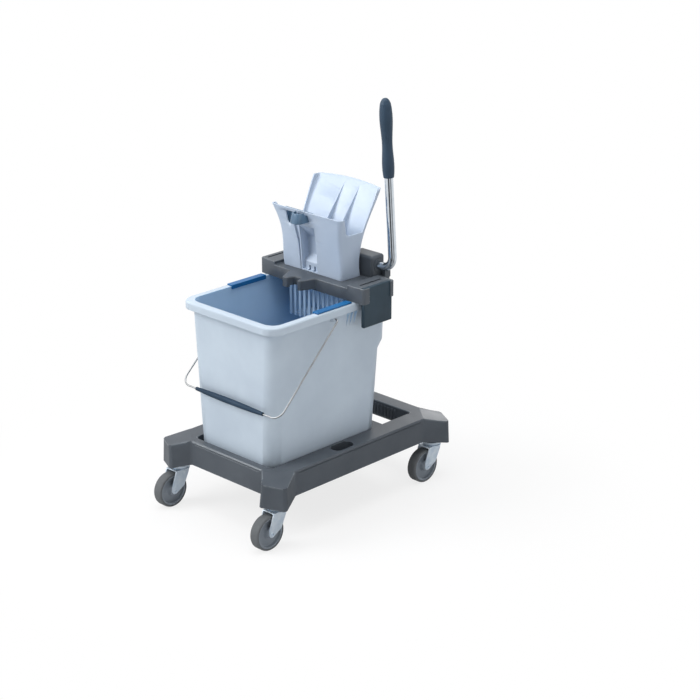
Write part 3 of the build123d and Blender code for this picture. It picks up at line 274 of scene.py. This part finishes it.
# Moulded polypropylene of the funnel: the same family, a touch bluer and glossier
funnel_polypropylene = moulded(
    "funnel_polypropylene", "#afbed1", "#b7c5d7", rough=0.36, grain_mm=1.6, depth_mm=0.012
)
# Moulded polypropylene of the sieve: thin ribs that read as a deeper blue
sieve_polypropylene = moulded(
    "sieve_polypropylene", "#a3bdd8", "#abc4dd", rough=0.40, grain_mm=1.6, depth_mm=0.012
)
# Moulded acetal of the pole retainer: mid blue grey
retainer_acetal = moulded(
    "retainer_acetal", "#4c6881", "#57728b", rough=0.38, grain_mm=1.6, depth_mm=0.012
)
# Moulded polypropylene of the rim clips: saturated blue with a clean shine
clip_polypropylene = moulded(
    "clip_polypropylene", "#08558c", "#0e629a",
    rough=0.36, grain_mm=1.2, depth_mm=0.012, gloss=0.4,
)
# Moulded polypropylene of the side panel: near black blue with a leathery tool grain
panel_polypropylene = moulded(
    "panel_polypropylene", "#2a3a45", "#31424e",
    rough=0.5, grain_mm=1.1, depth_mm=0.04, gloss=0.25,
)
# Moulded polypropylene of the bail grip: the same, a shade bluer
bail_polypropylene = moulded(
    "bail_polypropylene", "#1d3245", "#243a4e",
    rough=0.5, grain_mm=1.1, depth_mm=0.03, gloss=0.2,
)
# Moulded elastomer of the lever grip: slate blue, soft and dull
grip_elastomer = moulded(
    "grip_elastomer", "#2d4052", "#34485b",
    rough=0.52, grain_mm=1.4, depth_mm=0.03, gloss=0.28,
)
# Moulded acetal of the gears: warm white, waxy
gear_acetal = moulded(
    "gear_acetal", "#d8d5ca", "#e2dfd5", rough=0.40, grain_mm=1.6, depth_mm=0.01
)
# Moulded acetal of the bushes: black and dull
bush_acetal = moulded(
    "bush_acetal", "#17181a", "#1e1f22", rough=0.5, grain_mm=1.2, depth_mm=0.03
)
# Moulded nylon of the wheel hubs: grey with a blue cast
hub_nylon = moulded(
    "hub_nylon", "#7b838c", "#868e97", rough=0.45, grain_mm=1.1, depth_mm=0.03
)
# Moulded rubber of the tyres: matt mid grey, dusty in patches
tyre_rubber = moulded(
    "tyre_rubber", "#5a5d60", "#65696c",
    rough=0.72, grain_mm=0.7, depth_mm=0.06, gloss=0.35,
)
# Zinc-plated pressed steel of the castors: pale blue grey with a dull sparkle, half veiled
# by its passivation
zinc_plated_steel = plated(
    "zinc_plated_steel", "#c3d2e1", "#d6e1eb",
    rough=0.34, stretch=(1.0, 1.0, 0.15), depth_mm=0.006, metal=0.4,
)
# Drawn steel wire of the bail: grey, with lines along it
drawn_steel = plated(
    "drawn_steel", "#989a9c", "#a8aaac",
    rough=0.38, stretch=(0.2, 1.0, 1.0), depth_mm=0.0005,
)
# Chrome-plated steel tube of the lever: a clean mirror with the finest polishing lines
chrome_plated_steel = plated(
    "chrome_plated_steel", "#c6ced6", "#d2d9e0",
    rough=0.07, stretch=(1.0, 1.0, 0.06), depth_mm=0.001,
)

FINISH = {
    "chassis_plastic": chassis_polypropylene,
    "bucket_plastic": bucket_polypropylene,
    "press_plastic": funnel_polypropylene,
    "sieve_plastic": sieve_polypropylene,
    "clip_plastic": clip_polypropylene,
    "retainer_plastic": retainer_acetal,
    "slate_plastic": panel_polypropylene,
    "grip_plastic": grip_elastomer,
    "gear_plastic": gear_acetal,
    "bush_plastic": bush_acetal,
    "hub_plastic": hub_nylon,
    "tyre_rubber": tyre_rubber,
    "zinc_steel": zinc_plated_steel,
    "bail_steel": drawn_steel,
    "lever_chrome": chrome_plated_steel,
}
for name, thing in nodes.items():
    thing.data.materials.clear()
    thing.data.materials.append(
        bail_polypropylene if name == "bail_grip" else FINISH[slot_of[name]]
    )


def finish_piece(mesh, name, node):
    """Put a finished mesh in the scene in place of one node, on the node's body and slot."""
    piece = bpy.data.objects.new(name, mesh)
    scene.collection.objects.link(piece)
    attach(piece, body_of[node])
    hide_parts(node)


# Mouldings and pressings: the solid's own shape with its sharp edges rounded
# Faces that meet flatter than this are one, and edges that bend more than this are sharp
FLAT_ANGLE = math.radians(0.4)
SHARP_ANGLE = math.radians(28.0)
# Most of the room beside an edge that its rounding takes, and the least slant of a side that
# bounds the room, as a share of the side's length
ROOM_SHARE = 0.42
LEAST_SLANT = 0.35
# A rounded mesh is at fault where it strays further than this from the solid, in widths of
# the rounding, or where the cosine between its face and the solid's falls below this. Faces
# smaller than this, in square metres, aren't judged
STRAY_WIDTHS = 0.7
LEAST_COSINE = -0.2
SMALL_FACE = 1e-9
# Edges this near to a fault, in widths, stay sharp if they are shorter than this, in metres,
# try by try: short ones first, then any
FAULT_WIDTHS = 2.5
SHARP_LENGTHS = (0.004, 0.012, 0.03, 1.0, 1.0)
# Wider than any piece, in metres, and the least square of a length that is divided by
WIDE_ROOM = 1.0
LEAST_SQUARE = 1e-12


def room_beside(line):
    """Least width that the two faces of an edge have next to it, at its ends."""
    along = (line.verts[1].co - line.verts[0].co).normalized()
    room = WIDE_ROOM
    for corner in line.verts:
        for other in corner.link_edges:
            if other is line or not set(other.link_faces) & set(line.link_faces):
                continue
            way = other.other_vert(corner).co - corner.co
            across = (way - along * way.dot(along)).length
            if across > LEAST_SLANT * way.length:
                room = min(room, across)
    return room


def plain_mesh(made):
    """Plain mesh of what an object's modifiers make. The object itself goes."""
    bpy.context.view_layer.update()
    evaluated = made.evaluated_get(bpy.context.evaluated_depsgraph_get())
    mesh = bpy.data.meshes.new_from_object(evaluated)
    bpy.data.objects.remove(made)
    return mesh


def bevelled(source, width, segments, finish, edge):
    """Mesh of a bmesh in its finish, with its weighted edges rounded, in an edge finish that
    paints a highlight on them if there is one."""
    mesh = bpy.data.meshes.new("bevel_source")
    source.to_mesh(mesh)
    mesh.materials.append(finish)
    if edge:
        mesh.materials.append(edge)
    made = bpy.data.objects.new("bevel_work", mesh)
    scene.collection.objects.link(made)
    rounding = made.modifiers.new("rounding", "BEVEL")
    rounding.width = width
    rounding.segments = segments
    rounding.limit_method = "WEIGHT"
    rounding.use_clamp_overlap = False
    rounding.harden_normals = True
    rounding.material = 1 if edge else -1
    done = plain_mesh(made)
    bpy.data.meshes.remove(mesh)
    return done


def faults(mesh, solid, width):
    """Places where a rounded mesh leaves the solid that it came from, or is inside out."""
    bad = {
        corner.index for corner in mesh.vertices
        if solid.find_nearest(corner.co)[3] > STRAY_WIDTHS * width
    }
    places = []
    for face in mesh.polygons:
        wrong = any(i in bad for i in face.vertices)
        if not wrong and face.area > SMALL_FACE:
            wrong = solid.find_nearest(face.center)[1].dot(face.normal) < LEAST_COSINE
        if wrong:
            places += [mesh.vertices[i].co.copy() for i in face.vertices if i not in bad]
    return places


def off_line(place, line):
    """Distance from a place to an edge."""
    start, end = (corner.co for corner in line.verts)
    way = end - start
    share = (place - start).dot(way) / max(way.length_squared, LEAST_SQUARE)
    return (start + way * max(0.0, min(1.0, share)) - place).length


def softened(node, width_mm, edge=None, segments=2, reshape=None, share=None):
    """Replace a node by its own shape with every sharp edge rounded by up to width_mm, or by
    a share of it that depends on the edge. Edge is a lighter finish for the rounded edges, a
    painted highlight."""
    width = width_mm * MM
    finish = FINISH[slot_of[node]]
    work = bmesh.new()
    work.from_mesh(nodes[node].data)
    bmesh.ops.remove_doubles(work, verts=work.verts, dist=SAME_PLACE)
    if reshape:
        for corner in work.verts:
            corner.co = reshape(corner.co)
    bmesh.ops.dissolve_limit(
        work, angle_limit=FLAT_ANGLE, verts=work.verts, edges=work.edges,
        use_dissolve_boundaries=False,
    )
    weight = work.edges.layers.float.new("bevel_weight_edge")
    sharp = [
        line for line in work.edges
        if len(line.link_faces) == 2 and line.calc_face_angle() > SHARP_ANGLE
    ]
    for line in sharp:
        line[weight] = min(
            share(line) if share else 1.0, ROOM_SHARE * room_beside(line) / width
        )
    solid = BVHTree.FromBMesh(work)
    for longest in SHARP_LENGTHS:
        done = bevelled(work, width, segments, finish, edge)
        places = faults(done, solid, width)
        if not places:
            break
        for line in sharp:
            if line[weight] > 0 and line.calc_length() < longest:
                if any(off_line(place, line) < FAULT_WIDTHS * width for place in places):
                    line[weight] = 0.0
        bpy.data.meshes.remove(done)
    else:
        done = bevelled(work, width, segments, finish, edge)
    # Faces without area, which the rounding leaves at its ends, go
    work.clear()
    work.from_mesh(done)
    bmesh.ops.dissolve_degenerate(work, dist=SAME_PLACE, edges=work.edges)
    work.to_mesh(done)
    work.free()
    done.name = node + "_rounded"
    finish_piece(done, node + "_rounded", node)


# Top of the chassis: least height of its outer edges, and the box round each oval recess, in
# metres. Share of the full rounding there, round the ovals and elsewhere
TOP_Z = 0.138
OVAL_XY = (0.138, -0.020)
OVAL_HALF = (0.0165, 0.0295)
TOP_SHARE, OVAL_SHARE, OTHER_SHARE = 1.0, 0.25, 0.5
# Box round the slot in each end block of the bridge, in metres, and the shares there
SLOT_XY = (0.1375, 0.066)
SLOT_HALF = (0.0035, 0.0335)
BRIDGE_SHARE, SLOT_SHARE = 1.0, 0.15
# Foot of the channel in the funnel, in metres: the solid's line up from the floor, and the
# upright line in its place, from which the ramp leans back
CHANNEL_X = (-0.0386, 0.0071)
FLOOR_YZ = (0.0490, 0.4895)
FOOT_YZ = (0.0555, 0.5020)
NEW_FOOT_YZ = (0.0480, 0.5060)
# How far off the line a corner may lie, in metres, and past its ends, as a share of the line
OFF_FOOT = 0.0004
PAST_END = 0.02


def lies_in(line, centre, half):
    """Whether the middle of an edge lies in a box in plan, on either side of the trolley."""
    middle = (line.verts[0].co + line.verts[1].co) / 2
    beside = abs(abs(middle.x) - centre[0]) < half[0]
    return beside and abs(middle.y - centre[1]) < half[1]


def chassis_share(line):
    """Share of the full rounding that an edge of the chassis gets."""
    if lies_in(line, OVAL_XY, OVAL_HALF):
        return OVAL_SHARE
    on_top = min(corner.co.z for corner in line.verts) >= TOP_Z
    return TOP_SHARE if line.is_convex and on_top else OTHER_SHARE


def bridge_share(line):
    """Share of the full rounding that an edge of the bridge gets: little round the slots, so
    that they stay dark."""
    return SLOT_SHARE if lies_in(line, SLOT_XY, SLOT_HALF) else BRIDGE_SHARE


def steeper_ramp(place):
    """Place of a corner of the funnel once the foot of the channel's ramp stands forward."""
    rise = (place.z - FLOOR_YZ[1]) / (FOOT_YZ[1] - FLOOR_YZ[1])
    line_y = FLOOR_YZ[0] + rise * (FOOT_YZ[0] - FLOOR_YZ[0])
    in_channel = CHANNEL_X[0] < place.x < CHANNEL_X[1]
    on_line = -PAST_END < rise < 1 + PAST_END and abs(place.y - line_y) <= OFF_FOOT
    if not (in_channel and on_line):
        return place
    if rise > 1 - PAST_END:
        return Vector((place.x, *NEW_FOOT_YZ))
    upright = (place.z - FLOOR_YZ[1]) / (NEW_FOOT_YZ[1] - FLOOR_YZ[1])
    new_y = FLOOR_YZ[0] + upright * (NEW_FOOT_YZ[0] - FLOOR_YZ[0])
    return Vector((place.x, new_y, place.z))


# The chassis and the bridge get the lighter edge plastic on their rounded edges as a painted
# highlight
softened("chassis_frame", 2.8, edge_highlight_polypropylene, segments=3, share=chassis_share)
softened("press_holder", 1.2, edge_highlight_polypropylene, share=bridge_share)
softened("press_funnel", 0.9, reshape=steeper_ramp)
ROUNDED_MM = {
    "bucket_shell": 1.0, "sieve_basket": 0.6, "pole_retainer": 0.8, "gear_housing": 1.0,
    "side_panel": 0.8, "rim_clip_left": 0.9, "rim_clip_right": 0.9,
    **{"castor_fork_" + corner: 0.6 for corner in CASTORS},
}
for node, width_mm in ROUNDED_MM.items():
    softened(node, width_mm)

# Wheels: a section turned round the axle by a node tree
# Radius of the circle that the section follows, in metres, steps round it, steps in each
# rounding of the section, and the bend from which an edge looks sharp
PATH_R = 10.0 * MM
AROUND = 72
ARC_STEPS = 4
CREASE = math.radians(40)


def turned_tree(name, sizes, half, closed):
    """Node tree that turns a section about the axle. Sizes are its named inputs, in
    millimetres. The right half of the section is listed from the axle outwards: place along
    the axle, radius and rounding, each the name of a size."""
    tree = bpy.data.node_groups.new(name, "GeometryNodeTree")
    tree.is_modifier = True
    sockets = tree.interface
    for size, value in sizes.items():
        socket = sockets.new_socket(size, in_out="INPUT", socket_type="NodeSocketFloat")
        socket.default_value = value * MM
    sockets.new_socket("Centre", in_out="INPUT", socket_type="NodeSocketVector")
    sockets.new_socket("Finish", in_out="INPUT", socket_type="NodeSocketMaterial")
    sockets.new_socket("Geometry", in_out="OUTPUT", socket_type="NodeSocketGeometry")
    given = add(tree, "NodeGroupInput").outputs
    index = add(tree, "GeometryNodeInputIndex").outputs["Index"]
    places = add(tree, "GeometryNodeIndexSwitch", {"Index": index}, data_type="VECTOR")
    roundings = add(tree, "GeometryNodeIndexSwitch", {"Index": index}, data_type="FLOAT")
    corners = [(1.0, *c) for c in half] + [(-1.0, *c) for c in reversed(half)]
    for k, (side, along, radius, rounding) in enumerate(corners):
        for switch in (places, roundings):
            if k >= len(switch.index_switch_items):
                switch.index_switch_items.new()
        place = add(tree, "ShaderNodeCombineXYZ", {"X": given[radius], "Y": given[along]})
        sided = add(
            tree, "ShaderNodeVectorMath", {0: place.outputs["Vector"]},
            {1: (1.0, side, 1.0)}, operation="MULTIPLY",
        )
        moved = add(
            tree, "ShaderNodeVectorMath", {0: sided.outputs["Vector"]},
            {1: (PATH_R, 0.0, 0.0)}, operation="SUBTRACT",
        )
        tree.links.new(moved.outputs["Vector"], places.inputs[str(k)])
        if rounding:
            tree.links.new(given[rounding], roundings.inputs[str(k)])
    chain = add(tree, "GeometryNodeMeshLine", None, {"Count": len(corners)})
    chain = add(
        tree, "GeometryNodeSetPosition",
        {"Geometry": chain.outputs["Mesh"], "Position": places.outputs["Output"]},
    )
    chain = add(tree, "GeometryNodeMeshToCurve", {"Mesh": chain.outputs["Geometry"]})
    chain = add(
        tree, "GeometryNodeSetSplineCyclic", {"Geometry": chain.outputs["Curve"]},
        {"Cyclic": closed},
    )
    chain = add(
        tree, "GeometryNodeFilletCurve",
        {"Curve": chain.outputs["Geometry"], "Radius": roundings.outputs["Output"]},
        {"Count": ARC_STEPS, "Limit Radius": True}, mode="POLY",
    )
    path = add(
        tree, "GeometryNodeCurvePrimitiveCircle", None,
        {"Resolution": AROUND, "Radius": PATH_R},
    )
    turned = add(
        tree, "GeometryNodeCurveToMesh",
        {"Curve": path.outputs["Curve"], "Profile Curve": chain.outputs["Curve"]},
    )
    turned = add(
        tree, "GeometryNodeMergeByDistance", {"Geometry": turned.outputs["Mesh"]},
        {"Distance": SAME_PLACE},
    )
    turned = add(
        tree, "GeometryNodeTransform",
        {"Geometry": turned.outputs["Geometry"], "Translation": given["Centre"]},
        {"Rotation": (0.0, math.pi / 2, 0.0)},
    )
    turned = add(
        tree, "GeometryNodeRealizeInstances", {"Geometry": turned.outputs["Geometry"]}
    )
    turned = add(
        tree, "GeometryNodeSetMaterial",
        {"Geometry": turned.outputs["Geometry"], "Material": given["Finish"]},
    )
    add(tree, "NodeGroupOutput", {"Geometry": turned.outputs["Geometry"]})
    return tree


def turned_piece(name, tree, centre, node):
    """Replace a node by what a tree turns round the axle through centre."""
    made = bpy.data.objects.new(name, bpy.data.meshes.new(name + "_work"))
    scene.collection.objects.link(made)
    turning = made.modifiers.new("turning", "NODES")
    turning.node_group = tree
    inputs = {
        item.name: item.identifier
        for item in tree.interface.items_tree if item.in_out == "INPUT"
    }
    turning[inputs["Centre"]] = centre
    turning[inputs["Finish"]] = FINISH[slot_of[node]]
    mesh = plain_mesh(made)
    work = bmesh.new()
    work.from_mesh(mesh)
    bmesh.ops.recalc_face_normals(work, faces=work.faces)
    for face in work.faces:
        face.smooth = True
    work.to_mesh(mesh)
    work.free()
    mesh.name = name
    mesh.set_sharp_from_angle(angle=CREASE)
    finish_piece(mesh, name, node)


tyre_tree = turned_tree(
    "turned_tyre",
    {"Half width": 11.5, "Bead half width": 11.2, "Hub radius": 33.0, "Bead radius": 33.4,
     "Wall radius": 33.8, "Tread radius": 37.5, "Bead rounding": 0.2, "Wall rounding": 0.3,
     "Shoulder": 3.6},
    [("Bead half width", "Hub radius", None),
     ("Bead half width", "Bead radius", "Bead rounding"),
     ("Half width", "Wall radius", "Wall rounding"),
     ("Half width", "Tread radius", "Shoulder")],
    closed=True,
)
hub_tree = turned_tree(
    "turned_hub",
    {"Bore radius": 4.05, "Boss radius": 10.0, "Boss half": 13.5, "Boss foot radius": 11.5,
     "Web half": 2.5, "Rim inner radius": 29.5, "Rim outer radius": 33.0, "Rim half": 10.5,
     "Bore rounding": 0.3, "Boss rounding": 1.0, "Web rounding": 3.0, "Rim rounding": 0.9,
     "Seat rounding": 0.5},
    [("Boss half", "Bore radius", "Bore rounding"),
     ("Boss half", "Boss radius", "Boss rounding"),
     ("Web half", "Boss foot radius", "Web rounding"),
     ("Web half", "Rim inner radius", "Web rounding"),
     ("Rim half", "Rim inner radius", "Rim rounding"),
     ("Rim half", "Rim outer radius", "Seat rounding")],
    closed=True,
)
rivet_tree = turned_tree(
    "turned_rivet",
    {"Axis": 0.0, "Hollow radius": 2.3, "Lip radius": 2.9, "Crown radius": 4.2,
     "Head radius": 5.4, "Shank radius": 4.0, "Hollow half": 14.8, "Lip half": 17.6,
     "Crown half": 17.4, "Head half": 16.5, "Lip rounding": 0.5, "Crown rounding": 0.8,
     "Head rounding": 0.2},
    [("Hollow half", "Axis", None),
     ("Hollow half", "Hollow radius", "Lip rounding"),
     ("Lip half", "Lip radius", "Lip rounding"),
     ("Crown half", "Crown radius", "Crown rounding"),
     ("Head half", "Head radius", "Head rounding"),
     ("Head half", "Shank radius", None)],
    closed=False,
)
for corner in CASTORS:
    low, high = (Vector(v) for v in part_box("wheel_tyre_" + corner))
    middle = (low + high) / 2
    turned_piece("tyre_" + corner, tyre_tree, middle, "wheel_tyre_" + corner)
    turned_piece("hub_" + corner, hub_tree, middle, "wheel_hub_" + corner)
    turned_piece("rivet_" + corner, rivet_tree, middle, "castor_axle_" + corner)

# Floor and light
# Dark gaps in the white that mirrors see: turn to the right of the camera in degrees, cosines
# of the outer and the inner half width, least brightness
STUDIO_GAPS = ((-4.0, 0.90, 0.97, 0.10), (47.0, 0.93, 0.985, 0.35))
# Half side of the floor, in metres
FLOOR_HALF = 6.0
# In mirrors the floor lies in the object's shade: from and to these distances from its
# middle, in metres, at these levels
SHADE_FAR = (0.3, 1.3)
SHADE_LEVEL = (0.35, 1.0)
# Share of the lit floor, and so of the shadow on it, that the camera sees through the plain
# white, from and to these distances
SHADOW_FAR = (0.35, 0.8)
SHADOW_SHARE = (0.22, 0.0)
# Strength of the soft light from all round
SKY_STRENGTH = 0.5


def studio_side(tree, way):
    """Brightness that mirrors see in a direction: white all round, with dark gaps on the
    side where the camera stands."""
    flat = add(
        tree, "ShaderNodeVectorMath", {0: way}, {1: (1.0, 1.0, 0.0)}, operation="MULTIPLY"
    )
    unit = add(
        tree, "ShaderNodeVectorMath", {0: flat.outputs["Vector"]}, operation="NORMALIZE"
    )
    gaps = []
    for turn, outer, inner, least in STUDIO_GAPS:
        angle = AZIMUTH + math.radians(turn)
        along = add(
            tree, "ShaderNodeVectorMath", {0: unit.outputs["Vector"]},
            {1: (math.sin(angle), -math.cos(angle), 0.0)}, operation="DOT_PRODUCT",
        )
        gaps.append(add(
            tree, "ShaderNodeMapRange", {"Value": along.outputs["Value"]},
            {"From Min": outer, "From Max": inner, "To Min": 1.0, "To Max": least},
            interpolation_type="SMOOTHSTEP",
        ).outputs["Result"])
    both = add(tree, "ShaderNodeMath", {0: gaps[0], 1: gaps[1]}, operation="MULTIPLY")
    return both.outputs["Value"]


def seen_white(tree, level):
    """Where the plain background shows, and its strength: 1 to the camera, and a level to
    mirrors and glass."""
    ray = add(tree, "ShaderNodeLightPath").outputs
    mirror = add(
        tree, "ShaderNodeMath", {0: ray["Is Glossy Ray"], 1: ray["Is Transmission Ray"]},
        operation="MAXIMUM",
    )
    shown = add(
        tree, "ShaderNodeMath", {0: ray["Is Camera Ray"], 1: mirror.outputs["Value"]},
        operation="MAXIMUM",
    )
    side = add(
        tree, "ShaderNodeMath", {0: level, 1: ray["Is Camera Ray"]}, operation="MAXIMUM"
    )
    return shown.outputs["Value"], side.outputs["Value"]


def white_floor(name):
    """Pale floor that the camera and mirrors see as plain white, but for the object's soft
    shadow close to it."""
    material = bpy.data.materials.new(name)
    material.use_nodes = True
    tree = material.node_tree
    tree.nodes.clear()
    place = add(tree, "ShaderNodeNewGeometry").outputs["Position"]
    far = add(tree, "ShaderNodeVectorMath", {0: place}, operation="LENGTH").outputs["Value"]
    shade = add(
        tree, "ShaderNodeMapRange", {"Value": far},
        {"From Min": SHADE_FAR[0], "From Max": SHADE_FAR[1],
         "To Min": SHADE_LEVEL[0], "To Max": SHADE_LEVEL[1]},
    ).outputs["Result"]
    level = add(
        tree, "ShaderNodeMath", {0: studio_side(tree, place), 1: shade}, operation="MULTIPLY"
    )
    shown, strength = seen_white(tree, level.outputs["Value"])
    lit = add(
        tree, "ShaderNodeMapRange", {"Value": far},
        {"From Min": SHADOW_FAR[0], "From Max": SHADOW_FAR[1],
         "To Min": SHADOW_SHARE[0], "To Max": SHADOW_SHARE[1]},
        interpolation_type="SMOOTHSTEP",
    ).outputs["Result"]
    white = add(tree, "ShaderNodeMath", {0: shown, 1: lit}, operation="SUBTRACT")
    matt = add(tree, "ShaderNodeBsdfDiffuse", None, {"Color": srgb("#e6e6e6")})
    plain = add(
        tree, "ShaderNodeEmission", {"Strength": strength}, {"Color": srgb("#ffffff")}
    )
    mix = add(
        tree, "ShaderNodeMixShader",
        {0: white.outputs["Value"], 1: matt.outputs["BSDF"], 2: plain.outputs["Emission"]},
    )
    add(tree, "ShaderNodeOutputMaterial", {"Surface": mix.outputs["Shader"]})
    return material


floor_mesh = bpy.data.meshes.new("floor")
floor_mesh.from_pydata(
    [(x * FLOOR_HALF, y * FLOOR_HALF, 0) for x, y in ((-1, -1), (1, -1), (1, 1), (-1, 1))],
    [], [(0, 1, 2, 3)],
)
floor_mesh.materials.append(white_floor("studio_floor"))
floor = bpy.data.objects.new("floor", floor_mesh)
scene.collection.objects.link(floor)

world = bpy.data.worlds.new("studio")
scene.world = world
world.use_nodes = True
sky = world.node_tree
sky.nodes.clear()
way = add(sky, "ShaderNodeTexCoord").outputs["Generated"]
shown, strength = seen_white(sky, studio_side(sky, way))
soft = add(
    sky, "ShaderNodeBackground", None,
    {"Color": srgb("#f2f3f5"), "Strength": SKY_STRENGTH},
)
plain = add(
    sky, "ShaderNodeBackground", {"Strength": strength}, {"Color": srgb("#ffffff")}
)
mix = add(
    sky, "ShaderNodeMixShader",
    {0: shown, 1: soft.outputs["Background"], 2: plain.outputs["Background"]},
)
add(sky, "ShaderNodeOutputWorld", {"Surface": mix.outputs["Shader"]})


def lamp(name, place, aim, size, watts):
    """Large soft lamp that points at a place, all in metres."""
    light = bpy.data.lights.new(name, "AREA")
    light.shape = "SQUARE"
    light.size = size
    light.energy = watts
    made = bpy.data.objects.new(name, light)
    made.location = place
    towards = Vector(aim) - Vector(place)
    made.rotation_euler = towards.to_track_quat("-Z", "Y").to_euler()
    scene.collection.objects.link(made)


lamp("key", place=(-1.7, -2.4, 2.4), aim=(0.0, 0.0, 0.35), size=1.8, watts=80.0)
lamp("top", place=(0.2, -0.2, 3.0), aim=(0.0, 0.0, 0.3), size=2.0, watts=51.0)
lamp("fill", place=(2.8, -0.6, 1.2), aim=(0.0, 0.0, 0.3), size=1.6, watts=9.0)
lamp("sheen", place=(-1.3, 2.7, 0.75), aim=(0.1, 0.2, 0.15), size=1.2, watts=13.0)
